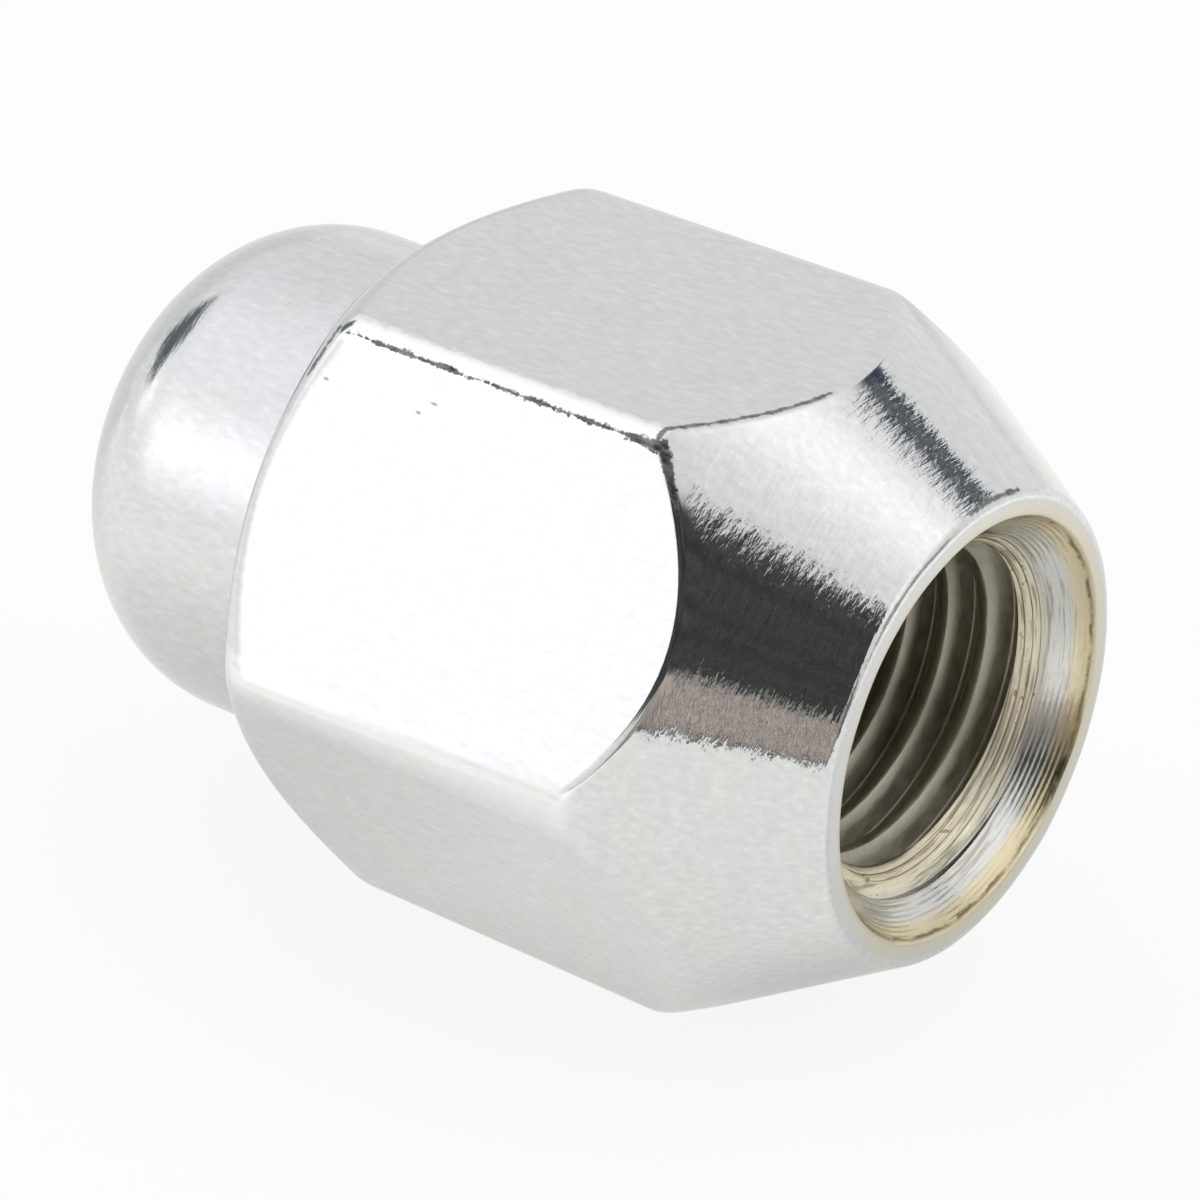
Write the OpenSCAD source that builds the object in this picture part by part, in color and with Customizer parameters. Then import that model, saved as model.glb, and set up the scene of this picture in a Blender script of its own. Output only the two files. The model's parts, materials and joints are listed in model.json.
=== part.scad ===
// Closed-end lug nut with a cone seat, lying on one flat of its hex.
// The stud axis is X. The origin is on that axis in the plane of the mouth, which faces +X.

/* [Wrench hex] */
// Width across the wrench flats
across_flats = 21; // [19:0.5:24]
// Radius along the six long corners of the hex
hex_corner_r = 0.8; // [0.2:0.1:2]
// Length from the mouth to the back end of the hex
body_l = 21.6; // [17:0.1:30]
// How far inside the flats the chamfer behind the hex ends
chamfer_inset = 0.9; // [0.3:0.1:1.5]
// Slope of that chamfer from the square end face, in degrees
chamfer_slope = 38; // [20:1:45]

/* [Cone seat] */
// Included angle of the cone that centres the nut in the wheel
seat_angle = 60; // [50:1:75]
// Width of the flat ring round the mouth
lip_w = 0.85; // [0.5:0.05:1.5]
// Radius of the ring's outer edge
lip_edge_r = 0.3; // [0.1:0.05:0.5]

/* [Stud hole] */
// Nominal diameter of the thread
thread_d = 12; // [10:0.5:14]
// Pitch of the thread
thread_pitch = 1.5; // [1:0.25:2]
// How far the countersink opens beyond the thread's nominal radius
mouth_flare = 0.9; // [0.3:0.1:1.5]
// Included angle of the countersink
countersink_angle = 78; // [60:1:100]
// Included angle of the drill point at the blind end
drill_angle = 118; // [90:1:140]
// Metal left between the drill point and the crown
crown_wall = 4.6; // [2:0.1:8]

/* [Cap] */
// Width of the square shoulder between the hex chamfer and the neck of the cap
shoulder_w = 1.2; // [0.7:0.1:2]
// Height of the cap from the back of the hex to the crown
cap_l = 10.1; // [7:0.1:16]
// Radius of the knuckle that rounds the neck into the crown
knuckle_r = 4.9; // [3:0.1:6]
// Radius of the nearly flat crown
crown_r = 28; // [16:0.5:60]
// Radius in the corner between shoulder and neck
neck_fillet_r = 0.5; // [0.1:0.05:1]

/* [Hidden] */
$fn = 96;
chrome = [0.82, 0.83, 0.84];

// How far the bar stock and the drill reach past the finished faces
stock_margin = 1;
// Straight steps that make up each arc of the turned outline
small_arc_steps = 6;
knuckle_steps = 24;
crown_steps = 4;

// Hex bar: the corner arcs, and how far out the corners reach
flat_r = across_flats / 2;
corner_step = 60;
corner_turns = [corner_step / 2 : corner_step : 360];
corner_centre_r = (flat_r - hex_corner_r) / cos(corner_step / 2);
stock_r = corner_centre_r + hex_corner_r + stock_margin;
overall_l = body_l + cap_l;

// Stud hole: the wall stands at the crests of the thread, on its minor diameter
minor_drop = 5 / 8 * cos(30);
wall_r = thread_d / 2 - minor_drop * thread_pitch;
mouth_r = thread_d / 2 + mouth_flare;
countersink_l = (mouth_r - wall_r) / tan(countersink_angle / 2);
drill_tip_z = crown_wall - overall_l;
wall_end_z = drill_tip_z + wall_r / tan(drill_angle / 2);

// Lip and cone: the edge arc touches both the ring and the cone
seat_half = seat_angle / 2;
lip_r = mouth_r + lip_w;
lip_arc = [lip_r - lip_edge_r * tan(45 - seat_half / 2), -lip_edge_r];
cone_end_z = (lip_r - stock_r) / tan(seat_half);

// Chamfer, shoulder and fillet behind the hex
chamfer_r = flat_r - chamfer_inset;
chamfer_end_z = (stock_r - chamfer_r) * tan(chamfer_slope) - body_l;
cap_r = chamfer_r - shoulder_w;
fillet_arc = [cap_r + neck_fillet_r, -body_l - neck_fillet_r];

// Cap: the crown arc is centred on the axis and touches the knuckle arc
knuckle_in = cap_r - knuckle_r;
crown_z = crown_r - overall_l;
knuckle_z = crown_z - sqrt(pow(crown_r - knuckle_r, 2) - pow(knuckle_in, 2));
touch_angle = atan2(knuckle_z - crown_z, knuckle_in);

function polar(r, a) = [r * cos(a), r * sin(a)];

// Points along an arc, without its last one
function arc(centre, r, from, to, steps) =
    [for (i = [0 : steps - 1]) centre + polar(r, from + (to - from) * i / steps)];

// Section of the hex bar, with a true arc on each corner
module hex_section() {
    polygon([
        for (turn = corner_turns, side = [-corner_step / 2, corner_step / 2])
            polar(corner_centre_r, turn) + polar(hex_corner_r, turn + side)
    ]);
    for (turn = corner_turns) {
        translate(polar(corner_centre_r, turn)) circle(r = hex_corner_r);
    }
}

module hex_bar() {
    translate([0, 0, -overall_l - stock_margin])
        linear_extrude(overall_l + 2 * stock_margin) hex_section();
}

// Lathe outline: lip, cone, stock, chamfer, shoulder, neck, knuckle and crown
module turned_blank() {
    rotate_extrude()
        polygon(concat(
            [[0, 0]],
            arc(lip_arc, lip_edge_r, 90, seat_half, small_arc_steps),
            [
                lip_arc + polar(lip_edge_r, seat_half),
                [stock_r, cone_end_z],
                [stock_r, chamfer_end_z],
                [chamfer_r, -body_l]
            ],
            arc(fillet_arc, neck_fillet_r, 90, 180, small_arc_steps),
            [[cap_r, fillet_arc.y]],
            arc([knuckle_in, knuckle_z], knuckle_r, 0, touch_angle, knuckle_steps),
            arc([0, crown_z], crown_r, touch_angle, -90, crown_steps),
            [[0, -overall_l]]
        ));
}

// Blind hole for the stud: countersink, straight wall and drill point
module stud_hole() {
    rotate_extrude()
        polygon([
            [0, stock_margin],
            [mouth_r + stock_margin * tan(countersink_angle / 2), stock_margin],
            [wall_r, -countersink_l],
            [wall_r, wall_end_z],
            [0, drill_tip_z]
        ]);
}

module lug_nut() {
    color(chrome)
        rotate([0, 90, 0])
            difference() {
                intersection() {
                    hex_bar();
                    turned_blank();
                }
                stud_hole();
            }
}

lug_nut();
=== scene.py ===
# %% [markdown]
# # A chromed lug nut
# This nut holds a wheel on its stud: a cone that centres it in the wheel, a hex for the wrench, a
# round cap, and a blind threaded hole. It is one piece of steel, turned, tapped and chromed.
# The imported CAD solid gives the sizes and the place. This script gives it the looks: the soft edges,
# the turned marks, the thread that the solid leaves out, and the three finishes of the metal.

# %% Load the frame
import json
import math

import bpy
import numpy as np
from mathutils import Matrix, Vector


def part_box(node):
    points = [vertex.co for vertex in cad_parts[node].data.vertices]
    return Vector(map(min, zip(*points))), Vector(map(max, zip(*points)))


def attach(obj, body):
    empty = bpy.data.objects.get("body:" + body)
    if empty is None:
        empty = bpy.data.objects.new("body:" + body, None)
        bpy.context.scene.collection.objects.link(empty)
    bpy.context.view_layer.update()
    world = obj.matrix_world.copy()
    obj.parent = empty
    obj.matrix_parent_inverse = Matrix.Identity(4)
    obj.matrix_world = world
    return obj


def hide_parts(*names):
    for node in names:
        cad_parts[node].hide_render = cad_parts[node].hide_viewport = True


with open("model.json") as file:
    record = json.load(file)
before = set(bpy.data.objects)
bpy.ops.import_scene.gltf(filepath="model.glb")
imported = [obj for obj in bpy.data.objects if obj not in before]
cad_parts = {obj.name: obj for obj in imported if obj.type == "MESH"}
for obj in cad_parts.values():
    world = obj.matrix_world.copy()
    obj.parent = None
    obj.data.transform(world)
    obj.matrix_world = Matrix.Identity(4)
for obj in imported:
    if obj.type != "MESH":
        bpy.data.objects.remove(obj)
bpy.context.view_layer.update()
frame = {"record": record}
MM = 0.001
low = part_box("lug_nut")[0]
overall_l = -low.x / MM
flat_r = -low.z / MM
mounts = {mount["name"]: mount for mount in frame["record"]["mounts"]}
crest_r = mounts["stud_thread"]["dims"]["r_mm"]
print("nut", round(overall_l, 2), "mm long,", round(2 * flat_r, 2), "mm across flats")

# %% [markdown]
# ## Camera
# The picture was taken with a long lens from the front right, looking down at the nut. A long lens
# keeps the far end of the nut almost as large as the near end, so the lens matters as much as the
# angle. The place below is the aim point plus the distance along the direction back to the camera.

# %% Camera
view_turn = math.radians(37.835)
view_height = math.radians(30.366)
aim = np.array([-14.675, 0.409, -0.835]) * MM
camera_distance = 167.0 * MM
lens_mm = 155.47
sensor_mm = 36.0
near_clip = 10 * MM

back = np.array([
    math.sin(view_turn) * math.cos(view_height),
    -math.cos(view_turn) * math.cos(view_height),
    math.sin(view_height),
])
camera_data = bpy.data.cameras.new("camera")
camera_data.lens = lens_mm
camera_data.sensor_width = sensor_mm
camera_data.clip_start = near_clip
camera = bpy.data.objects.new("camera", camera_data)
camera.location = aim + back * camera_distance
camera.rotation_euler = (math.pi / 2 - view_height, 0, view_turn)
bpy.context.scene.collection.objects.link(camera)
bpy.context.scene.camera = camera
print("camera at", [round(value, 4) for value in camera.location])

# %% [markdown]
# ## Columns of the grid
# The whole nut is one grid: rows run from the crown over the outside, into the mouth and down the
# hole, and columns run round the axis. Angle 0 points to -Y and 90 degrees points up.
# A mirror finish shows every uneven step, so the columns follow the hex: some sit on the arc of each
# corner, spaced evenly by how far the surface turns there, and the rest crowd softly towards it.
# No two corners came out of the die alike. The one at the lower front is the roundest, and more so
# towards the mouth than towards the cap.

# %% Columns
sides = 6
half_side = math.pi / sides
mouth_end_rs = np.array([2.4, 0.9, 1.0, 1.0, 1.0, 1.2])
cap_end_rs = np.array([1.1, 0.9, 1.0, 1.0, 1.0, 1.2])
corner_steps = 8
flat_steps = 28


def corner_arcs(corner_rs):
    """For corners of the given radii, how far the centres of their arcs are from the axis, and the angle at
    which each arc ends. The centre lies its radius inside the two flats, so on the line to the corner it is
    the rest of the half width over the cosine of 30 degrees."""
    centres = (flat_r - corner_rs) / math.cos(half_side)
    ends = np.arctan2(corner_rs * math.sin(half_side), centres + corner_rs * math.cos(half_side))
    return centres, ends


def column_angles(corner_rs):
    """Angles of all columns: in each sixth of the circle first the corner arc, where the normal turns in
    equal steps, then the flat, where even steps are mixed with steps that shrink towards both ends."""
    corner_centres, arc_ends = corner_arcs(corner_rs)
    turn = np.linspace(-half_side, half_side, corner_steps + 1)
    corner_r = corner_rs[:, None]
    on_arc = np.arctan2(corner_r * np.sin(turn), corner_centres[:, None] + corner_r * np.cos(turn))
    even = np.arange(1, flat_steps) / flat_steps
    crowded = 0.5 - 0.5 * np.cos(np.pi * even)
    share = 0.5 * even + 0.5 * crowded
    room = 2 * half_side - arc_ends - np.roll(arc_ends, -1)
    on_flat = arc_ends[:, None] + share * room[:, None]
    sector = np.arange(sides)[:, None] * 2 * half_side
    return (sector + np.concatenate([on_arc, on_flat], axis=1)).ravel()


phi = column_angles((mouth_end_rs + cap_end_rs) / 2)
columns = len(phi)
print(columns, "columns")

# %% [markdown]
# ## Rows of the outside
# A lathe tool would follow the outline from the crown to the mouth. The same walk is made here with a
# heading: 0 along the axis towards the mouth, 90 degrees straight out. Each corner of the walk is an
# arc that touches the lines before and after it, and straight rows join the arcs.
# On the hex the distance from the axis depends on the angle, so the corners lie where the hex bar
# meets the cone and the chamfer, which gives the arched edges of a real nut for free. Polishing wore
# the six points of the hex more than the middles of the flats, so the arcs are larger there.

# %% Outline of the hex bar


def hex_r(angle, corner_rs):
    """Distance from the axis to the hex. On a flat it is flat_r over the cosine of the angle from the
    middle of the flat. On a corner it is the far point of a circle round the corner's centre."""
    corner_centres, arc_ends = corner_arcs(corner_rs)
    nearest = np.rint(angle / (2 * half_side)).astype(int) % sides
    off = np.abs((angle + half_side) % (2 * half_side) - half_side)
    near = np.minimum(off, arc_ends[nearest])
    centre_r = corner_centres[nearest]
    arc_r = centre_r * np.cos(near)
    arc_r = arc_r + np.sqrt(corner_rs[nearest] ** 2 - (centre_r * np.sin(near)) ** 2)
    return np.where(off < arc_ends[nearest], arc_r, flat_r / np.cos(half_side - off))


corner_reach = hex_r(phi, cap_end_rs).max()
print("corners reach", round(corner_reach, 3), "mm from the axis")

# %% Arcs and straight rows


def arc_rows(centre_x, centre_r, radius, start, stop, steps):
    """Rows on an arc: the point is the centre plus radius times the direction on the left of the
    heading, while the heading turns evenly. A hollow fillet has a negative radius."""
    heading = np.linspace(start, stop, steps + 1)[:, None]
    return centre_x - radius * np.sin(heading), centre_r + radius * np.cos(heading), heading


def rounded(corner_x, corner_r, start, stop, radius, steps):
    """Rows that round a corner between two headings. The arc touches both lines radius times the tangent
    of half the turn away from the corner."""
    reach = radius * math.tan((start - stop) / 2)
    centre_x = corner_x - reach * math.cos(start) + radius * math.sin(start)
    centre_r = corner_r - reach * math.sin(start) - radius * math.cos(start)
    return arc_rows(centre_x, centre_r, radius, start, stop, steps)


def straight(before, after, steps):
    """Rows between the last row of one piece and the first row of the next, in equal steps."""
    share = (np.arange(1, steps) / steps)[:, None]
    run = after[0][:1] - before[0][-1:]
    rise = after[1][:1] - before[1][-1:]
    x = before[0][-1:] + share * run
    r = before[1][-1:] + share * rise
    return x, r, np.arctan2(rise, run) + 0 * x


print("arcs and straight rows ready")

# %% Sizes of the outside
body_l = 21.6
chamfer_inset = 0.9
chamfer_r = flat_r - chamfer_inset
chamfer_slope = math.radians(35)
shoulder_w = 1.2
cap_r = chamfer_r - shoulder_w
knuckle_r = 4.9
crown_r = 28.0
neck_fillet_r = 0.5
seat_half = math.radians(30.6)
mouth_r = 6.9
lip_r = 7.7
lip_edge_r = 0.42
lip_rise = 0.07
lip_sag = 0.05
mouth_half = math.radians(39)
mouth_edge_r = 0.06
shoulder_edge_r = 0.15
chamfer_edge_r = np.array([0.8, 2.0])
seat_edge_r = np.array([0.5, 1.6])

crown_x = crown_r - overall_l
knuckle_in = cap_r - knuckle_r
knuckle_x = crown_x - math.sqrt((crown_r - knuckle_r) ** 2 - knuckle_in ** 2)
touch = math.atan2(crown_x - knuckle_x, knuckle_in)
ahead = 0.0
outwards = math.pi / 2
inwards = -math.pi / 2
into_mouth = mouth_half - math.pi


def lip_wave(angle):
    """Uneven height of the lip between about 0 and 1: the mean of four cosine waves with different counts
    and starts, moved up by a half."""
    counts = np.array([2, 5, 9, 16])
    starts = np.array([0.4, 2.1, 4.0, 1.2])
    return 0.5 + 0.5 * np.cos(counts * angle[..., None] + starts).mean(-1)


print("cap", round(2 * cap_r, 2), "mm wide, seat", round(math.degrees(2 * seat_half), 1), "degrees")

# %% The outside, crown to lip
crown_steps = 6
knuckle_steps = 24
fillet_steps = 6
shoulder_steps = 3
edge_steps = 8
lip_steps = 6
mouth_steps = 4
straight_steps = [1, 6, 2, 4, 8, 12, 4]
stretches = [
    "crown", "crown_end", "knuckle", "neck", "fillet", "shoulder", "shoulder_edge", "slope",
    "chamfer", "flat", "seat", "cone", "lip", "ring", "mouth",
]


def outside_rows(angle):
    """The rows of the outside for the given column angles, as distance along the axis, distance from
    the axis, and heading, with the row number where each stretch of them starts."""
    mouth_end_r = hex_r(angle, mouth_end_rs)[None, :]
    cap_end_r = hex_r(angle, cap_end_rs)[None, :]
    at_corner = (cap_end_r - flat_r) / (corner_reach - flat_r)
    chamfer_x = (cap_end_r - chamfer_r) * math.tan(chamfer_slope) - body_l
    chamfer_arc = chamfer_edge_r[0] + (chamfer_edge_r[1] - chamfer_edge_r[0]) * at_corner
    seat_x = (lip_r - mouth_end_r) / math.tan(seat_half)
    seat_arc = seat_edge_r[0] + (seat_edge_r[1] - seat_edge_r[0]) * at_corner
    lip_x = lip_rise - lip_sag * lip_wave(angle)[None, :]
    ring_out = lip_r - lip_x * math.tan(seat_half)
    ring_in = mouth_r + lip_x * math.tan(mouth_half)
    climb = outwards - chamfer_slope
    crown = [part[:-1] for part in arc_rows(crown_x, 0, crown_r, outwards, touch, crown_steps)]
    arcs = [
        crown,
        arc_rows(knuckle_x, knuckle_in, knuckle_r, touch, ahead, knuckle_steps),
        rounded(-body_l, cap_r, ahead, outwards, -neck_fillet_r, fillet_steps),
        rounded(-body_l, chamfer_r, outwards, climb, shoulder_edge_r, shoulder_steps),
        rounded(chamfer_x, cap_end_r, climb, ahead, chamfer_arc, edge_steps),
        rounded(seat_x, mouth_end_r, ahead, -seat_half, seat_arc, edge_steps),
        rounded(lip_x, ring_out, -seat_half, inwards, lip_edge_r, lip_steps),
        rounded(lip_x, ring_in, inwards, into_mouth, mouth_edge_r, mouth_steps),
    ]
    wide = [tuple(part + 0 * angle for part in arc) for arc in arcs]
    pieces = [wide[0]]
    for count, before, after in zip(straight_steps, wide, wide[1:]):
        pieces.append(straight(before, after, count))
        pieces.append(after)
    starts = np.cumsum([0] + [len(piece[0]) for piece in pieces])
    return [np.concatenate(part) for part in zip(*pieces)], dict(zip(stretches, starts))


outside, first_row = outside_rows(phi)
print(len(outside[0]), "rows from crown to mouth")

# %% [markdown]
# ## Thread
# The stud hole has a right-hand metric thread. The CAD wall stands on the crests, so the grooves are
# cut outwards from it: a flat crest, 30 degree flanks and a narrow flat root. A thread could be a
# screwed mesh, but here it is the same grid with each row sheared by one pitch per turn. Its last
# column then meets its first column one pitch further in, and the seam closes by itself.

# %% Thread profile
thread_d = 12.0
pitch = 1.5
crest_w = pitch / 4
root_w = pitch / 8
flank_w = (pitch - crest_w - root_w) / 2
groove_depth = thread_d / 2 - crest_r
crest_mid_x = -0.8625
runout_x = np.array([-19.0, -17.2])


def smooth(value, start, stop):
    """0 before start, 1 after stop, and an S curve 3t^2 - 2t^3 between them."""
    share = np.clip((value - start) / (stop - start), 0, 1)
    return share * share * (3 - 2 * share)


def groove_share(along):
    """How deep the groove is, from 0 on the crest to 1 at the root, for the distance from the middle of a
    crest: it repeats with the pitch and rises evenly over the width of the flank."""
    off = np.abs((along + pitch / 2) % pitch - pitch / 2)
    return np.clip((off - crest_w / 2) / flank_w, 0, 1)


def thread_r(x, angle):
    """Distance from the axis to the thread: the crest radius plus the groove, which moves one pitch inwards
    for each turn and fades out before the end of the hole."""
    along = crest_mid_x - pitch * angle / (2 * np.pi) - x
    return crest_r + groove_depth * groove_share(along) * smooth(x, *runout_x)


print("groove", round(groove_depth, 3), "mm deep, flank", round(flank_w, 3), "mm wide")

# %% [markdown]
# ## Countersink
# The mouth was opened with a form tool that left rings behind: fine even ones near the lip, then one
# deeper ring, then a rougher stretch with a few scratched lines. They catch the light one by one, so
# they are real ridges here. The thread was cut after them and breaks through further in.

# %% Rows of the countersink
fine_pitch = 0.135
fine_height = 0.0042
fine_fade = 0.08
ring_x = -1.24
ring_depth = 0.014
ring_w = 0.045
scratch_pitch = 0.2
scratch_depth = 0.03
scratch_w = 0.03
scratch_gap = 0.05
countersink_end = -2.13
countersink_rows = 120


def mouth_rings(x):
    """What the tool left on the countersink, as extra radius: a cosine ridge of fine pitch, one deep ring
    with a bell-shaped section, and a row of narrow bell-shaped scratches behind it."""
    fine = fine_height * (1 - np.cos(2 * np.pi * x / fine_pitch)) * smooth(x, ring_x, ring_x + fine_fade)
    fine = fine * smooth(-x, fine_fade, 2 * fine_fade)
    ring = ring_depth * np.exp(-((x - ring_x) / ring_w) ** 2)
    off = (x - ring_x) % scratch_pitch - scratch_pitch / 2
    scratch = scratch_depth * np.exp(-(off / scratch_w) ** 2)
    return fine + ring + scratch * smooth(-x, scratch_gap - ring_x, 2 * scratch_gap - ring_x)


first_x = outside[0][-1:]
down_share = (np.arange(1, countersink_rows + 1) / countersink_rows)[:, None]
wall_x = first_x + down_share * (countersink_end - first_x)
cone_r = mouth_r + wall_x * math.tan(mouth_half) + mouth_rings(wall_x)
wall = [wall_x, np.maximum(cone_r, thread_r(wall_x, phi))]
print(countersink_rows, "rows in the countersink")

# %% Rows of the thread
bevel = 0.02
crest_edge = crest_w / 2
root_edge = crest_w / 2 + flank_w
half_turn = np.array([0, crest_edge - bevel, crest_edge + bevel, crest_edge + flank_w / 2,
                      root_edge - bevel, root_edge + bevel])
one_turn = np.concatenate([half_turn, [pitch / 2], pitch - half_turn[:0:-1]])
turn_rows = len(one_turn)
first_turn = -1
last_turn = 12
turns = np.arange(first_turn, last_turn + 1)[:, None] * pitch
along = (turns + one_turn).ravel()[:, None]
wall_end_x = -19.2

free_x = crest_mid_x - pitch * phi / (2 * np.pi) - along
thread_x = np.clip(free_x, wall_end_x, countersink_end)
thread = [thread_x, thread_r(thread_x, phi)]
print(len(along), "rows of thread,", turn_rows, "for each turn")

# %% Rows of the blind end
crown_wall = 4.6
drill_half = math.radians(59)
tip_x = crown_wall - overall_l
drill_x = tip_x + crest_r / math.tan(drill_half)
plain_mid_x = -21.0
drill_edge = 0.05
drill_mid_x = (tip_x + drill_x) / 2
round_drill = [drill_x + 2 * drill_edge, drill_x - drill_edge]
end_x = np.array([wall_end_x, plain_mid_x, *round_drill, drill_mid_x, tip_x])[:, None]
end_r = np.minimum(crest_r, (end_x - tip_x) * math.tan(drill_half))
blind = [end_x + 0 * phi, end_r + 0 * phi]
print("hole ends", round(-tip_x, 2), "mm behind the mouth")

# %% [markdown]
# ## One closed mesh
# All rows are stacked and joined with quads. Rows that share a place share their points: the poles
# at the crown and the drill point, the thread rows that lie beyond the ends of the thread, and the
# thread's seam. Quads that lose a side that way become triangles, and those that lose two vanish.

# %% Stack the rows
sections = [outside[:2], wall, thread, blind]
grid_x, grid_r = [np.concatenate(part) for part in zip(*sections)]
rows = len(grid_x)
outer_rows = len(outside[0])
first_thread = outer_rows + len(wall[0])
first_blind = first_thread + len(along)
points = np.stack([grid_x, -grid_r * np.cos(phi), grid_r * np.sin(phi)], -1)

own = np.arange(rows * columns).reshape(rows, columns)
shared = own.copy()
shared[0] = own[0, 0]
shared[-1] = own[-1, 0]
thread_part = slice(first_thread, first_blind)
shared[thread_part] = np.where(free_x > countersink_end, own[first_thread - 1], own[thread_part])
shared[thread_part] = np.where(free_x < wall_end_x, own[first_blind], shared[thread_part])

seam = shared[:, 0].copy()
one_pitch_in = np.minimum(np.arange(first_thread, first_blind) + turn_rows, first_blind)
seam[thread_part] = shared[one_pitch_in, 0]
corner = np.column_stack([shared, seam])
print(rows, "rows and", columns, "columns")

# %% Faces
quads = np.stack([corner[:-1, :-1], corner[1:, :-1], corner[1:, 1:], corner[:-1, 1:]], -1).reshape(-1, 4)
quad_row = np.repeat(np.arange(rows - 1), columns)
same = quads == np.roll(quads, -1, axis=1)
lost = same.sum(1)
whole = lost == 0
halved = [(lost == 1) & same[:, place] for place in range(4)]
triangles = np.concatenate([np.delete(quads[kept], place, axis=1) for place, kept in enumerate(halved)])
face_rows = np.concatenate([quad_row[kept] for kept in [whole] + halved])
used = np.unique(np.concatenate([quads[whole].ravel(), triangles.ravel()]))
number = np.zeros(rows * columns, int)
number[used] = np.arange(len(used))
faces = number[quads[whole]].tolist() + number[triangles].tolist()
print(int(whole.sum()), "quads and", len(triangles), "triangles")

# %% [markdown]
# ## Exact normals
# Chrome is a mirror, and a mirror shows the normal rather than the shape. Averaged face normals would
# bend the reflections near each edge, so every point of the outside gets the true normal of its
# formula: it is square to the heading and to the slope round the axis. The duller inside keeps the
# averaged normals, which a zero vector asks for.

# %% Normals
nudge = 1e-5
ahead_rows = outside_rows(phi + nudge)[0]
behind_rows = outside_rows(phi - nudge)[0]
slope_x = (ahead_rows[0] - behind_rows[0]) / (2 * nudge)
slope_r = (ahead_rows[1] - behind_rows[1]) / (2 * nudge)
run = np.cos(outside[2])
rise = np.sin(outside[2])
radial = run * outside[1]
round_axis = rise * slope_x - run * slope_r
outer_normals = np.stack([
    -rise * outside[1],
    -radial * np.cos(phi) + round_axis * np.sin(phi),
    radial * np.sin(phi) + round_axis * np.cos(phi),
], -1)
outer_normals[0] = (-1, 0, 0)
normals = np.zeros((rows, columns, 3))
normals[:outer_rows] = outer_normals / np.linalg.norm(outer_normals, axis=-1, keepdims=True)
print("exact normals on", outer_rows * columns, "points")

# %% Build the mesh
mesh = bpy.data.meshes.new("chrome_nut")
mesh.from_pydata((points.reshape(-1, 3)[used] * MM).tolist(), [], faces)
mesh.polygons.foreach_set("use_smooth", np.ones(len(faces), bool))
mesh.normals_split_custom_set_from_vertices(normals.reshape(-1, 3)[used].tolist())
nut = bpy.data.objects.new("chrome_nut", mesh)
bpy.context.scene.collection.objects.link(nut)
print(len(mesh.vertices), "points and", len(mesh.polygons), "faces")

# %% [markdown]
# ## Finishes on their own faces
# The plating differs over the nut. The outside is bright chrome. It thins out over the lip and into
# the mouth, where the yellowish nickel under it shows. The tapped hole is bare steel.
# Some marks have a place of their own, and the mesh carries them as numbers on its points: how strongly
# a surface was turned, how polished the corner above the front flat is and how worn the one below it, the
# distance from the torn seam that runs along the upper one and round the point of the hex, the distance from
# the dark rims that go on from there along the seat and the chamfer and from a painted shade line along the
# outer edge of the lip, and the distance from a faint crease along the worn corner.

# %% Which finish goes where
CHROME, NICKEL, STEEL = 0, 1, 2
finish = np.full(len(faces), CHROME)
finish[face_rows >= first_row["ring"] - 1] = NICKEL
finish[face_rows >= first_thread] = STEEL
print("faces of chrome, nickel and steel:", np.bincount(finish))

# %% Turned, polished and worn places
chamfer_mid = first_row["chamfer"] + edge_steps // 2
seat_mid = first_row["seat"] + edge_steps // 2
seam_column = corner_steps + flat_steps
from_corner = np.arange(corner_steps + 1)

cap_turning = 0.45
turned = np.zeros((rows, columns))
turned[:first_row["chamfer"]] = cap_turning
turned[first_row["cone"]:] = 1

polish_fade = 3
polish_early = 3
polish_start = first_row["flat"] - polish_early
polished = np.zeros((rows, columns))
polished[polish_start:seat_mid, seam_column + from_corner] = np.clip(from_corner[::-1] / polish_fade, 0, 1)

most_worn = 0.6
wear_fade = 5
row_number = np.arange(rows)[:, None]
along_hex = np.clip((row_number - first_row["chamfer"]) / wear_fade, 0, 1)
along_hex = along_hex * np.clip((first_row["cone"] - row_number) / wear_fade, 0, 1)
worn = np.zeros((rows, columns))
worn[:, from_corner] = most_worn * along_hex * np.clip(from_corner / wear_fade, 0, 1)
print(int((polished > 0).sum()), "polished points and", int((worn > 0).sum()), "worn ones")

# %% Paths of the seam, the rims, the painted lip shade and the crease
round_corner = slice(seam_column - 5, seam_column + 3)
along_top_flat = slice(seam_column + 2, seam_column + 21)
lip_rim_ends = np.radians([86, 107])
on_lip = np.flatnonzero((phi > lip_rim_ends[0]) & (phi < lip_rim_ends[1]))
seam_paths = [
    points[chamfer_mid + 2:seat_mid + 1, seam_column + 1],
    points[seat_mid, round_corner],
]
# The first two rim paths are dark lines along the edge of the top flat and round the chamfer. The third,
# along the outer edge of the lip, is painted shade.
rim_and_lip_shade_paths = [
    points[seat_mid - 2, along_top_flat],
    points[chamfer_mid, round_corner],
    points[first_row["lip"] + 1, on_lip],
]
crease_paths = [points[chamfer_mid:seat_mid, corner_steps - 1]]
knot_at = points[seat_mid, seam_column + 1]
print("seam knot at", knot_at.round(2))

# %% Distances from the paths
far_mm = 9.0


def distance_to_path(places, path):
    """Shortest distance from each place to a path of straight pieces: the place is dropped onto each piece,
    held between its ends, and the smallest distance wins."""
    piece_run = np.diff(path, axis=0)
    off = places[:, None] - path[:-1]
    share = np.clip((off * piece_run).sum(-1) / (piece_run ** 2).sum(-1), 0, 1)
    return np.linalg.norm(off - share[..., None] * piece_run, axis=-1).min(1)


def distance_to_paths(paths):
    """Distance of every point of the outside from the nearest of some paths. The inside counts as far."""
    places = points[:outer_rows].reshape(-1, 3)
    nearest = np.minimum.reduce([distance_to_path(places, path) for path in paths])
    gaps = np.full((rows, columns), far_mm)
    gaps[:outer_rows] = nearest.reshape(-1, columns)
    return gaps


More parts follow.
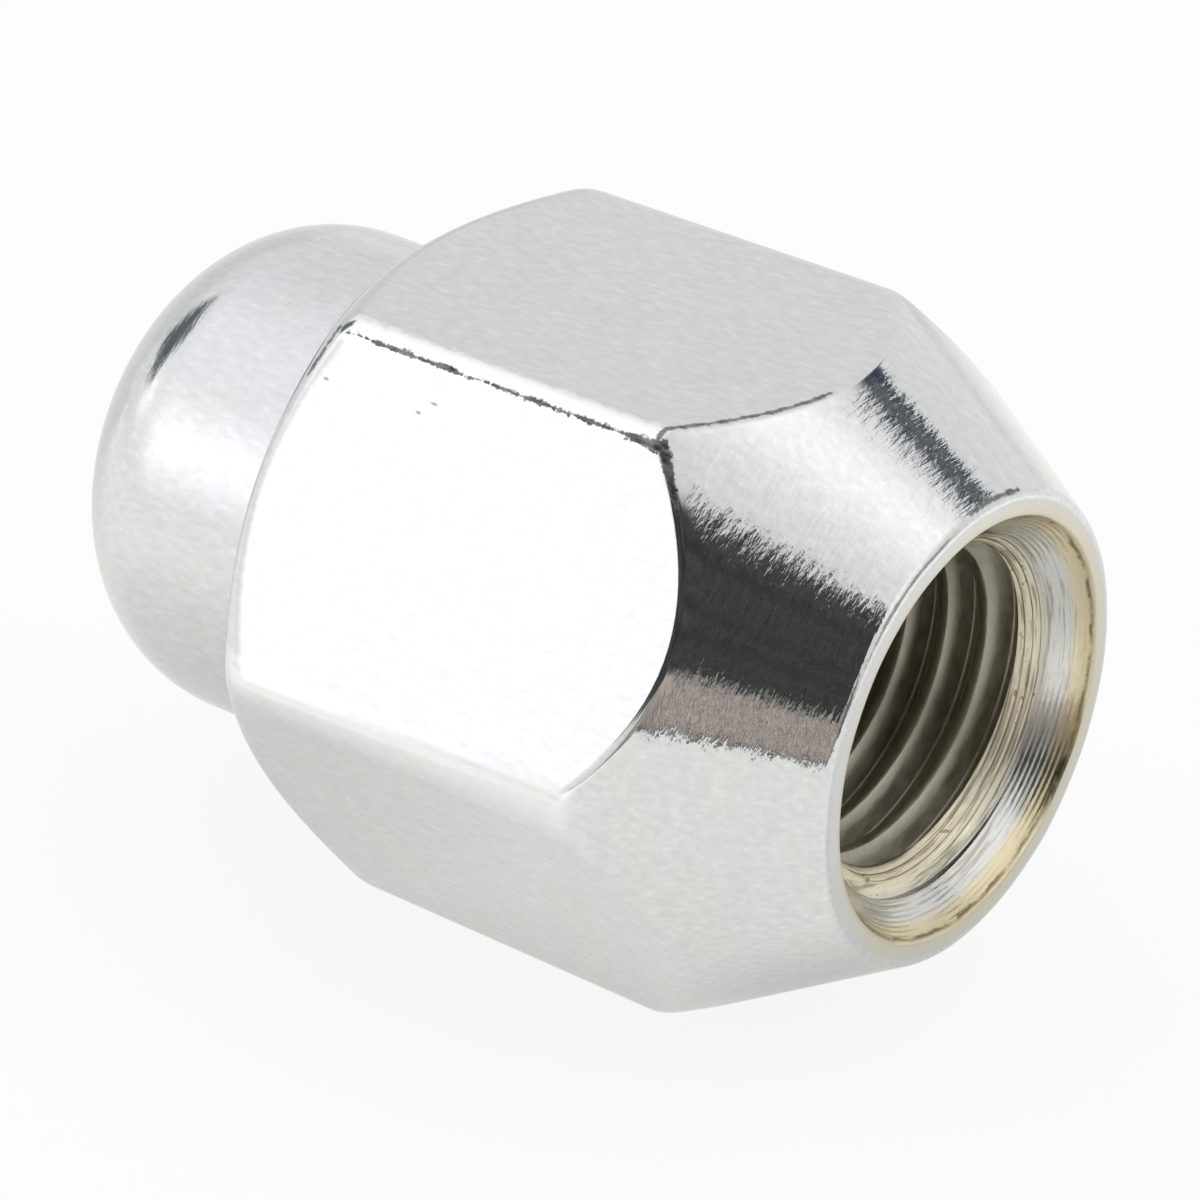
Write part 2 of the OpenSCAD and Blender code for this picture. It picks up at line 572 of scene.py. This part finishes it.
point_marks = {
    "turned": turned,
    "polished": polished,
    "worn": worn,
    "seam_mm": distance_to_paths(seam_paths),
    "rim_and_lip_shade_mm": distance_to_paths(rim_and_lip_shade_paths),
    "crease_mm": distance_to_paths(crease_paths),
}
for name, values in point_marks.items():
    mark = mesh.attributes.new(name, "FLOAT", "POINT")
    mark.data.foreach_set("value", values.ravel()[used].astype(np.float32))
print("marks on the points:", ", ".join(point_marks))

# %% [markdown]
# ## Helpers for nodes
# A finish is a small machine of nodes: places and noise go in, and colour, roughness and a bent normal
# come out. Wired by hand in the editor it would be a large drawing, so here each kind of node gets a short
# function that makes it, links it and hands back its result. A formula then reads from top to bottom.

# %% Nodes and arithmetic


def add_node(tree, kind, inputs=None, **settings):
    """Adds a node. An input that is given a socket is linked to it, and any other value is set."""
    made = tree.nodes.new(kind)
    for name, value in settings.items():
        setattr(made, name, value)
    for key, value in (inputs or {}).items():
        if isinstance(value, bpy.types.NodeSocket):
            tree.links.new(value, made.inputs[key])
        else:
            made.inputs[key].default_value = value
    return made


def calc(tree, operation, *values):
    """One step of arithmetic on sockets or numbers."""
    return add_node(tree, "ShaderNodeMath", dict(enumerate(values)), operation=operation).outputs[0]


def vector_calc(tree, operation, *values):
    """One step of arithmetic on vectors. Lengths and products come as a number, the rest as a vector."""
    made = add_node(tree, "ShaderNodeVectorMath", dict(enumerate(values)), operation=operation)
    return made.outputs["Value" if operation in ("LENGTH", "DOT_PRODUCT") else "Vector"]


print("node arithmetic ready")

# %% Noise, ranges and colours
noise_range = (0.3, 0.7)


def marks_noise(tree, coords, scale, detail, rough=0.5):
    """Noise whose scale along each axis is given in marks per millimetre. Its values lie between 0 and 1,
    and nearly all of them within noise_range."""
    per_metre = [value / MM for value in scale]
    fitted = add_node(tree, "ShaderNodeMapping", {"Vector": coords, "Scale": per_metre})
    noise_in = {"Vector": fitted.outputs[0], "Scale": 1.0, "Detail": detail, "Roughness": rough}
    return add_node(tree, "ShaderNodeTexNoise", noise_in).outputs["Fac"]


def remap(tree, value, from_low, from_high, to_low, to_high):
    """Stretches a range of values to another one, and holds it at both ends."""
    taken = {"Value": value, "From Min": from_low, "From Max": from_high}
    given = {"To Min": to_low, "To Max": to_high}
    return add_node(tree, "ShaderNodeMapRange", taken | given, clamp=True).outputs[0]


def blend(tree, share, first, second):
    """Mixes two colours. The mix node has its colour sockets at places 6 and 7, and the result at 2."""
    return add_node(tree, "ShaderNodeMix", {0: share, 6: first, 7: second}, data_type="RGBA").outputs[2]


def point_mark(tree, name):
    """A number that the mesh carries on its points."""
    return add_node(tree, "ShaderNodeAttribute", attribute_name=name).outputs["Fac"]


def bend_normal(tree, shader, height, depth):
    """Bends the shader's normal to the slope of a height, where a height of 1 stands for the depth."""
    bump = add_node(tree, "ShaderNodeBump", {"Height": height, "Strength": 1.0, "Distance": depth})
    tree.links.new(bump.outputs[0], shader.inputs["Normal"])


def new_finish(name):
    """A metal with its node tree, its shader and Object coordinates."""
    material = bpy.data.materials.new(name)
    material.use_nodes = True
    tree = material.node_tree
    shader = tree.nodes["Principled BSDF"]
    shader.inputs["Metallic"].default_value = 1.0
    coords = add_node(tree, "ShaderNodeTexCoord").outputs["Object"]
    return material, tree, shader, coords


print("noise, ranges and colours ready")

# %% [markdown]
# ## Torn seam, rims and a painted lip shade
# When the hex was pressed, a thin lap of metal tore along one corner, and the plating drew it as a dark
# broken line. Where three edges meet it thickens to a knot. Thin dark rims go on from there along the seat
# and the chamfer, and the same dark is painted along the outer edge of the lip as shade. The lines start
# from the exact distance that the mesh carries, so they stay on the edge, and noise makes them wander, fray
# and break.

# %% Seam
wander_marks = (2.5, 8.0, 8.0)
comb_marks = (9.0, 2.0, 2.0)
break_marks = (1.6, 3.5, 3.5)
wander_mm = 0.14
comb_mm = 0.2
seam_half_w = (-0.005, 0.085)
seam_edge = (-0.02, 0.04)
knot_extra_w = 0.12
knot_reach = (0.4 * MM, 1.8 * MM)
rim_half_w = (0.04, 0.1)
rim_edge = (-0.03, 0.04)
rim_strength = 0.9


def seam_rims_and_lip_shade(tree, coords):
    """1 on the seam, its rims and the painted shade line along the lip, and 0 beside them. The distance from
    the path is shifted by noise, which bends and frays the line, and compared with half a width that also
    comes from noise, which breaks it."""
    wander = marks_noise(tree, coords, wander_marks, 2.0, 0.6)
    comb = marks_noise(tree, coords, comb_marks, 2.0, 0.6)
    breaks = marks_noise(tree, coords, break_marks, 2.0, 0.6)
    from_knot = vector_calc(tree, "LENGTH", vector_calc(tree, "SUBTRACT", coords, tuple(knot_at * MM)))
    near_knot = remap(tree, from_knot, *knot_reach, 1, 0)
    half_w = remap(tree, breaks, 0.34, 0.6, *seam_half_w)
    half_w = calc(tree, "MULTIPLY_ADD", near_knot, knot_extra_w, half_w)
    bend = calc(tree, "MULTIPLY", calc(tree, "SUBTRACT", wander, 0.5), wander_mm)
    bend = calc(tree, "MULTIPLY_ADD", calc(tree, "SUBTRACT", comb, 0.5), comb_mm, bend)
    bent_seam = calc(tree, "ADD", point_mark(tree, "seam_mm"), bend)
    line = remap(tree, calc(tree, "SUBTRACT", bent_seam, half_w), *seam_edge, 1, 0)
    rim_w = remap(tree, breaks, 0.36, 0.6, *rim_half_w)
    bent_rim = calc(tree, "MULTIPLY_ADD", bend, 0.5, point_mark(tree, "rim_and_lip_shade_mm"))
    rim = remap(tree, calc(tree, "SUBTRACT", bent_rim, rim_w), *rim_edge, rim_strength, 0)
    return calc(tree, "MAXIMUM", line, rim)


print("seam up to", 2 * seam_half_w[1], "mm wide, and", 2 * knot_extra_w, "mm more at the knot")

# %% Nicks
nicks = [
    ((-19.55, -7.06, 8.77), 0.12),
    ((-15.88, -7.05, 8.79), 0.12),
    ((-15.42, -6.84, 9.15), 0.16),
]
nick_height = 0.06
nick_edge = (0.5, 1.1)


def nick_marks(tree, coords):
    """1 on three small nicks in the front flat and 0 beside them: the distance from each, measured in its
    own half length along the axis and in its half height across it."""
    share = 0.0
    for place, half_l in nicks:
        size = np.array([half_l, nick_height, nick_height]) * MM
        moved = vector_calc(tree, "SUBTRACT", coords, tuple(np.array(place) * MM))
        far = vector_calc(tree, "LENGTH", vector_calc(tree, "DIVIDE", moved, tuple(size)))
        share = calc(tree, "MAXIMUM", remap(tree, far, *nick_edge, 1, 0), share)
    return share


print(len(nicks), "nicks in the front flat")

# %% [markdown]
# ## Bright chrome
# Chrome plate is thin and copies the surface under it. The cone and the cap were turned, so they carry
# fine lines round the axis, while the flats were pressed and are smoother. The lines tilt the mirror a
# little, so the edges of the reflections on the cone fray into hairs. Painted hairs would stand still
# under another light, so stretched noise bends the normal instead, and any reflection frays.

# %% Colours and marks of the chrome
dull_grey = (0.615, 0.63, 0.62, 1)
pale_grey = (0.685, 0.695, 0.685, 1)
dull_blue = (0.62, 0.63, 0.645, 1)
pale_blue = (0.685, 0.693, 0.705, 1)
polished_edge = (0.85, 0.86, 0.85, 1)
# The seam's dark and pale also colour the painted shade line along the outer edge of the lip.
seam_and_shade_dark = (0.055, 0.06, 0.058, 1)
seam_and_shade_pale = (0.24, 0.25, 0.25, 1)
nick_grey = (0.3, 0.3, 0.3, 1)
lathe_marks = (5.5, 1.3, 1.3)
lathe_height = 0.019 * MM
wave_marks = (1.6, 1.6, 1.6)
wave_share = 0.15
mottle_marks = (2.0, 4.5, 4.5)
tint_marks = (0.5, 0.12, 0.12)
polish_fray = 1.5
crease_edge = (0.02, 0.13)
crease_strength = 0.2
chrome_rough = (0.05, 0.1)
seam_rough = 0.3
print("chrome roughness", chrome_rough, "and", seam_rough, "more on the seam")

# %% Chrome


def bright_chrome():
    """Mirror chrome whose normal follows lathe lines on turned surfaces and faint waves on pressed ones."""
    material, tree, shader, coords = new_finish("bright_chrome")
    lathe = marks_noise(tree, coords, lathe_marks, 3.0, 0.55)
    waves = marks_noise(tree, coords, wave_marks, 1.0)
    mottle = marks_noise(tree, coords, mottle_marks, 3.0, 0.6)
    tint = marks_noise(tree, coords, tint_marks, 2.0)
    seam_rim_and_shade_line = seam_rims_and_lip_shade(tree, coords)
    height = calc(tree, "MULTIPLY", lathe, point_mark(tree, "turned"))
    height = calc(tree, "MULTIPLY_ADD", waves, wave_share, height)
    bend_normal(tree, shader, height, lathe_height)

    grain = remap(tree, mottle, 0.35, 0.65, 0, 1)
    grey = blend(tree, grain, dull_grey, pale_grey)
    blue = blend(tree, grain, dull_blue, pale_blue)
    plain = blend(tree, remap(tree, tint, 0.4, 0.65, 0, 1), grey, blue)
    plain = blend(tree, point_mark(tree, "worn"), plain, polished_edge)
    uneven = calc(tree, "SUBTRACT", mottle, 0.5)
    frayed = calc(tree, "MULTIPLY_ADD", uneven, polish_fray, point_mark(tree, "polished"))
    bright = blend(tree, remap(tree, frayed, 0.2, 0.8, 0, 1), plain, polished_edge)
    crease = remap(tree, point_mark(tree, "crease_mm"), *crease_edge, crease_strength, 0)
    bright = blend(tree, calc(tree, "MULTIPLY", crease, grain), bright, nick_grey)
    bright = blend(tree, nick_marks(tree, coords), bright, nick_grey)
    # Where the mask is 1, the seam's colours paint the torn seam, the rims and the shade line along the lip.
    seam_and_shade_colour = blend(tree, grain, seam_and_shade_dark, seam_and_shade_pale)
    tree.links.new(blend(tree, seam_rim_and_shade_line, bright, seam_and_shade_colour), shader.inputs["Base Color"])
    rough = remap(tree, waves, *noise_range, *chrome_rough)
    tree.links.new(calc(tree, "MULTIPLY_ADD", seam_rim_and_shade_line, seam_rough, rough), shader.inputs["Roughness"])
    return material


chrome = bright_chrome()
print("made", chrome.name)

# %% [markdown]
# ## Nickel of the mouth
# Chrome doesn't reach well into a hole, so the mouth shows nickel: pale on the lip, straw yellow just
# inside it, silvery on the fine rings and cream further in, where the surface is rougher. These bands
# lie at fixed distances from the axis, so a colour ramp over that distance places them. A thin broken
# line of grime follows the inner edge of the lip.

# %% Bands and marks of the nickel
nickel_bands = [
    (5.20, (0.68, 0.62, 0.48, 1)),
    (5.75, (0.80, 0.74, 0.58, 1)),
    (5.98, (0.62, 0.61, 0.57, 1)),
    (6.35, (0.63, 0.635, 0.63, 1)),
    (6.60, (0.66, 0.58, 0.40, 1)),
    (6.85, (0.58, 0.50, 0.33, 1)),
    (7.05, (0.66, 0.63, 0.53, 1)),
    (7.45, (0.65, 0.64, 0.59, 1)),
]
bright_lip = (0.70, 0.70, 0.69, 1)
grime = (0.15, 0.125, 0.07, 1)
grime_inset = 0.16
grime_wander = 0.2
grime_edge = (0.015, 0.06)
inner_end_r = (5.92, 6.04)
score_fade_r = (5.9, 6.7)
score_end_r = (6.7, 6.8)
lip_start_r = (6.95, 7.1)
front_way = (0, -0.87, 0.5)
front_start = (1 * MM, 6 * MM)
nickel_grain_marks = (5.0, 2.0, 2.0)
nickel_grain_height = 0.006 * MM
grime_marks = (1.0, 1.0, 1.0)
score_marks = (16.0, 0.6, 0.6)
nickel_rough = (0.15, 0.28)
inner_rough = 0.2
print(len(nickel_bands), "bands from", nickel_bands[0][0], "to", nickel_bands[-1][0], "mm off the axis")

# %% Nickel


def mouth_nickel():
    """Satin metal coloured by the distance from the axis, rougher and pitted in the inner band."""
    material, tree, shader, coords = new_finish("mouth_nickel")
    across = vector_calc(tree, "MULTIPLY", coords, (0, 1 / MM, 1 / MM))
    radius = vector_calc(tree, "LENGTH", across)
    ramp = add_node(tree, "ShaderNodeValToRGB", {"Fac": remap(tree, radius, crest_r, lip_r, 0, 1)})
    stops = ramp.color_ramp.elements
    while len(stops) < len(nickel_bands):
        stops.new(1.0)
    for stop, (place, colour) in zip(stops, nickel_bands):
        stop.position = (place - crest_r) / (lip_r - crest_r)
        stop.color = colour
    grain = marks_noise(tree, coords, nickel_grain_marks, 2.0, 0.6)
    wander = marks_noise(tree, coords, grime_marks, 3.0, 0.6)
    edge_r = calc(tree, "MULTIPLY_ADD", wander, grime_wander, mouth_r - grime_inset)
    from_edge = calc(tree, "ABSOLUTE", calc(tree, "SUBTRACT", radius, edge_r))
    line = remap(tree, from_edge, *grime_edge, 1, 0)
    broken = calc(tree, "MULTIPLY", line, remap(tree, wander, 0.42, 0.62, 0.9, 0.2))
    inner = remap(tree, radius, *inner_end_r, 1, 0)
    pits = calc(tree, "MULTIPLY", remap(tree, grain, 0.3, 0.36, 0.7, 0), inner)
    tool_lines = marks_noise(tree, coords, score_marks, 2.0)
    line_depth = remap(tree, radius, *score_fade_r, 0.6, 0.15)
    scored = calc(tree, "MULTIPLY", remap(tree, tool_lines, 0.36, 0.48, 1, 0), line_depth)
    scored = calc(tree, "MULTIPLY", scored, remap(tree, radius, *score_end_r, 1, 0))
    dirt = calc(tree, "MAXIMUM", broken, calc(tree, "MAXIMUM", pits, scored))
    front = remap(tree, vector_calc(tree, "DOT_PRODUCT", coords, front_way), *front_start, 0, 1)
    front_lip = calc(tree, "MULTIPLY", remap(tree, radius, *lip_start_r, 0, 1), front)
    plated = blend(tree, front_lip, ramp.outputs[0], bright_lip)
    tree.links.new(blend(tree, dirt, plated, grime), shader.inputs["Base Color"])
    bend_normal(tree, shader, grain, nickel_grain_height)
    rough = remap(tree, grain, *noise_range, *nickel_rough)
    tree.links.new(calc(tree, "MULTIPLY_ADD", inner, inner_rough, rough), shader.inputs["Roughness"])
    return material


nickel = mouth_nickel()
print("made", nickel.name)

# %% [markdown]
# ## Steel of the thread
# The tap cut the thread after plating or scraped the plating off, so the hole is bare steel with a film
# of oil: olive grey, satin, with faint lines along the cut. Little light gets in, and what does comes
# from one wall to the next, so a dull surface looks more even here than a polished one.

# %% Steel
steel_dark = (0.42, 0.40, 0.32, 1)
steel_pale = (0.57, 0.54, 0.45, 1)
steel_grain_marks = (6.0, 1.5, 1.5)
steel_grain_height = 0.008 * MM
steel_rough = (0.38, 0.52)


def tapped_steel():
    """Dull metal with fine lines round the axis."""
    material, tree, shader, coords = new_finish("tapped_steel")
    grain = marks_noise(tree, coords, steel_grain_marks, 2.0, 0.6)
    shade = remap(tree, grain, *noise_range, 0, 1)
    tree.links.new(blend(tree, shade, steel_dark, steel_pale), shader.inputs["Base Color"])
    bend_normal(tree, shader, grain, steel_grain_height)
    tree.links.new(remap(tree, grain, *noise_range, *steel_rough), shader.inputs["Roughness"])
    return material


steel = tapped_steel()
print("made", steel.name)

# %% Give the nut its finishes
for material in (chrome, nickel, steel):
    mesh.materials.append(material)
mesh.polygons.foreach_set("material_index", finish)
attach(nut, "root")
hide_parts("lug_nut")
print(nut.name, "has", len(mesh.materials), "finishes")

# %% [markdown]
# ## Floor
# The nut lies on a pale sheet. The sheet is white to the camera and in the chrome, and part of its
# white comes from the light that falls on it, so the soft shadow under the nut stays. In the chrome
# the sheet also shows where the lamps light it most, at the left, in front, behind and by the mouth, and
# where it ends: a dark line far to the right, which the cone shows as a hairline.

# %% Floor
floor_half = 1.5
floor_mesh = bpy.data.meshes.new("floor")
floor_corners = [(-1, -1), (1, -1), (1, 1), (-1, 1)]
floor_points = [(x * floor_half, y * floor_half, low.z) for x, y in floor_corners]
floor_mesh.from_pydata(floor_points, [], [(0, 1, 2, 3)])
floor = bpy.data.objects.new("floor", floor_mesh)
bpy.context.scene.collection.objects.link(floor)
print("floor at", round(low.z / MM, 2), "mm")

# %% Whites of the sheet
sheet_white = (1, 1, 1, 1)
sheet_warm = (1, 1, 0.96, 1)
sheet_end = (0.08, 0.075, 0.08, 1)
sheet_lit = (0.95, 0.95, 0.95, 1)
own_white = 0.88
mirror_white = 0.6
mirror_loss = 0.12
left_white = 0.44
front_white = 0.35
back_white = 0.3
pool_white = 0.8
pool_at = (50 * MM, 35 * MM, low.z)
pool_reach = 30 * MM
left_way = (-0.9, -0.44, 0)
end_way = (0.8, -0.6, 0)
end_mm = (290, 330)
print("the sheet ends", end_mm[1], "mm off in the chrome")

# %% Sheet


def white_patch(tree, most, first, first_mm, second, second_mm):
    """A patch of extra white: it rises to its most between two lines along each of two measures of the
    place, and the lower of the two rises holds."""
    rises = [
        remap(tree, measure, start * MM, stop * MM, 0, most)
        for measure, (start, stop) in ((first, first_mm), (second, second_mm))
    ]
    return calc(tree, "MINIMUM", *rises)


def white_sheet():
    """Paper that is partly white by itself and partly lit. For mirrors its white rises at the left, in front
    and behind, each between two lines across the sheet, and in a pool at the mouth, a bell curve of the
    distance from its middle."""
    material = bpy.data.materials.new("white_sheet")
    material.use_nodes = True
    tree = material.node_tree
    tree.nodes.clear()
    path = add_node(tree, "ShaderNodeLightPath").outputs
    seen = calc(tree, "MAXIMUM", path["Is Camera Ray"], path["Is Transmission Ray"])
    place = add_node(tree, "ShaderNodeTexCoord").outputs["Object"]
    right, behind, _ = add_node(tree, "ShaderNodeSeparateXYZ", {0: place}).outputs
    to_left = vector_calc(tree, "DOT_PRODUCT", place, left_way)
    at_left = white_patch(tree, left_white, to_left, (25, 54), behind, (5, -15))
    in_front = white_patch(tree, front_white, right, (-29, -14), behind, (-3, -8))
    at_back = white_patch(tree, back_white, right, (-60, -20), behind, (20, 50))
    from_pool = vector_calc(tree, "LENGTH", vector_calc(tree, "SUBTRACT", place, pool_at))
    squared = calc(tree, "POWER", calc(tree, "DIVIDE", from_pool, pool_reach), 2.0)
    bell = calc(tree, "EXPONENT", calc(tree, "MULTIPLY", squared, -1.0))
    pool = calc(tree, "MULTIPLY", bell, pool_white)
    extra = calc(tree, "ADD", calc(tree, "ADD", at_left, in_front), calc(tree, "ADD", at_back, pool))
    extra = calc(tree, "SUBTRACT", extra, mirror_loss)
    strength = calc(tree, "MULTIPLY_ADD", extra, path["Is Glossy Ray"], 1.0)
    to_end = vector_calc(tree, "DOT_PRODUCT", place, end_way)
    past_end = remap(tree, to_end, end_mm[0] * MM, end_mm[1] * MM, 0, 1)
    beyond = calc(tree, "MULTIPLY", past_end, path["Is Glossy Ray"])
    colour = blend(tree, path["Is Glossy Ray"], sheet_white, sheet_warm)
    colour = blend(tree, beyond, colour, sheet_end)
    white = add_node(tree, "ShaderNodeEmission", {"Color": colour, "Strength": strength})
    lit = add_node(tree, "ShaderNodeBsdfDiffuse", {"Color": sheet_lit})
    share = calc(tree, "MULTIPLY", seen, own_white)
    share = calc(tree, "MULTIPLY_ADD", path["Is Glossy Ray"], mirror_white, share)
    share = calc(tree, "MAXIMUM", share, beyond)
    mixed = add_node(tree, "ShaderNodeMixShader", {0: share, 1: lit.outputs[0], 2: white.outputs[0]})
    add_node(tree, "ShaderNodeOutputMaterial", {"Surface": mixed.outputs[0]})
    return material


sheet = white_sheet()
floor_mesh.materials.append(sheet)
print("made", sheet.name)

# %% [markdown]
# ## Light tent
# Chrome has hardly any colour of its own: it shows what stands around it. A studio puts such parts in
# a white tent, with soft lamps behind the cloth and a dark gap for the camera. The tent here is the
# world, worked out from the direction of each ray: a white cloth, soft glows, and a few dark windows.
# Directions are a turn from the front, positive to the right, and a height above the floor, in degrees.
# The cloth is soft and lies all round, so every ray finds light by itself. The world is therefore not
# searched for lamps as well, which would double the time of a render and change nothing that shows.

# %% Directions in the tent
world = bpy.data.worlds.new("light_tent")
bpy.context.scene.world = world
world.use_nodes = True
world.cycles.sampling_method = "NONE"
tent = world.node_tree
tent.nodes.clear()
direction = add_node(tent, "ShaderNodeTexCoord").outputs["Generated"]
parts = add_node(tent, "ShaderNodeSeparateXYZ", {0: direction}).outputs
to_front = calc(tent, "MULTIPLY", parts["Y"], -1.0)
turn_angle = calc(tent, "DEGREES", calc(tent, "ARCTAN2", parts["X"], to_front))
height_angle = calc(tent, "DEGREES", calc(tent, "ARCSINE", parts["Z"]))


def aimed(turn, height):
    """Unit vector for a turn and a height."""
    level = math.cos(math.radians(height))
    across = math.radians(turn)
    return (level * math.sin(across), -level * math.cos(across), math.sin(math.radians(height)))


def glow(turn, height, width):
    """Soft lamp behind the cloth: the bell curve of the angle from its middle."""
    facing = vector_calc(tent, "DOT_PRODUCT", direction, aimed(turn, height))
    sharp = 2 / math.radians(width) ** 2
    return calc(tent, "EXPONENT", calc(tent, "MULTIPLY", calc(tent, "SUBTRACT", facing, 1.0), sharp))


def soft_edge(value, start, stop):
    """S curve from 0 at start to 1 at stop."""
    inputs = {"Value": value, "From Min": start, "From Max": stop}
    return add_node(tent, "ShaderNodeMapRange", inputs, interpolation_type="SMOOTHSTEP").outputs[0]


def window(turns, heights, soft, lean=0.0, shear=0.0):
    """1 inside a window of the tent, falling to 0 over soft degrees at its sides, bottom and top. Its level
    edges sink by lean degrees for each degree of turn from the middle, and its upright edges move back by
    shear degrees for each degree of height from the middle."""
    half = (turns[1] - turns[0]) / 2
    off = calc(tent, "WRAP", calc(tent, "SUBTRACT", turn_angle, turns[0] + half), 180.0, -180.0)
    above_middle = calc(tent, "SUBTRACT", height_angle, (heights[0] + heights[1]) / 2)
    across = calc(tent, "ABSOLUTE", calc(tent, "MULTIPLY_ADD", above_middle, shear, off))
    level = calc(tent, "MULTIPLY_ADD", off, lean, height_angle)
    inside = soft_edge(across, half + soft[0], half)
    above = soft_edge(level, heights[0] - soft[1], heights[0])
    below = soft_edge(level, heights[1] + soft[2], heights[1])
    return calc(tent, "MULTIPLY", inside, calc(tent, "MULTIPLY", above, below))


print("directions ready")

# %% Cloth and glows
cloth = (0.92, 0.92, 0.92)
glows = [
    (glow(-38, 20, 15), (0.41, 0.41, 0.41)),
    (glow(-45, 25, 40), (0.26, 0.26, 0.27)),
    (glow(-85, 55, 24), (0.16, 0.16, 0.2)),
    (glow(-73, 17, 7), (0.4, 0.4, 0.4)),
    (glow(95, 42, 16), (0.4, 0.4, 0.4)),
    (glow(138, 62, 18), (0.5, 0.5, 0.47)),
    (glow(175, 8, 40), (0.06, 0.06, 0.06)),
]
light = cloth
for bell, colour in glows:
    light = vector_calc(tent, "MULTIPLY_ADD", bell, colour, light)
print("cloth with", len(glows), "glows")

# %% Windows of the tent
dark_low = (0.032, 0.037, 0.035, 1)
dark_high = (0.09, 0.094, 0.09, 1)
slate_low = (0.06, 0.075, 0.1, 1)
slate_high = (0.2, 0.215, 0.235, 1)
wood_pale = (0.66, 0.58, 0.52, 1)
wood_dark = (0.28, 0.24, 0.22, 1)
dim_cloth = (0.82, 0.825, 0.81, 1)
dark_grey = (0.2, 0.2, 0.2, 1)
blue_grey = (0.15, 0.17, 0.19, 1)
mid_grey = (0.42, 0.43, 0.44, 1)
speck_scale = 14.0
stripe_rate = 0.6

speck_in = {"Vector": direction, "Scale": speck_scale, "Detail": 1.0}
specks = add_node(tent, "ShaderNodeTexNoise", speck_in).outputs[0]
dark = blend(tent, remap(tent, specks, 0.35, 0.65, 0, 1), dark_low, dark_high)
slate = blend(tent, remap(tent, specks, 0.4, 0.6, 0, 1), slate_low, slate_high)
stripes = calc(tent, "SINE", calc(tent, "MULTIPLY", turn_angle, stripe_rate))
wood = blend(tent, remap(tent, stripes, -1, 1, 0, 1), wood_pale, wood_dark)
windows = [
    (window((-136, -104), (-12, 14), (9, 9, 12)), dim_cloth),
    (window((6, 60), (0, 14), (4, 1, 4)), wood),
    (window((-8, 66), (16.9, 53.8), (3, 3, 4), lean=-0.04), dark),
    (window((-22, -8), (18, 45), (3, 3, 4)), dark),
    (window((62, 82), (-2, 11), (4, 2, 4)), dark_grey),
    (window((152, 181), (34, 39.9), (3, 1.5, 5), lean=0.3), slate),
    (window((-99, -85), (17, 31), (6, 5, 6), shear=0.46), blue_grey),
    (window((98, 124), (3, 15), (8, 4, 6)), mid_grey),
]
for share, colour in windows:
    light = blend(tent, share, light, colour)
print(len(windows), "windows in the tent")

# %% What the world shows
is_camera = add_node(tent, "ShaderNodeLightPath").outputs["Is Camera Ray"]
shown = blend(tent, is_camera, light, sheet_white)
sky = add_node(tent, "ShaderNodeBackground", {"Color": shown, "Strength": 1.0})
add_node(tent, "ShaderNodeOutputWorld", {"Surface": sky.outputs[0]})
bpy.context.scene.view_settings.view_transform = "Standard"
print(world.name, "lights the scene, shown as", bpy.context.scene.view_settings.view_transform)
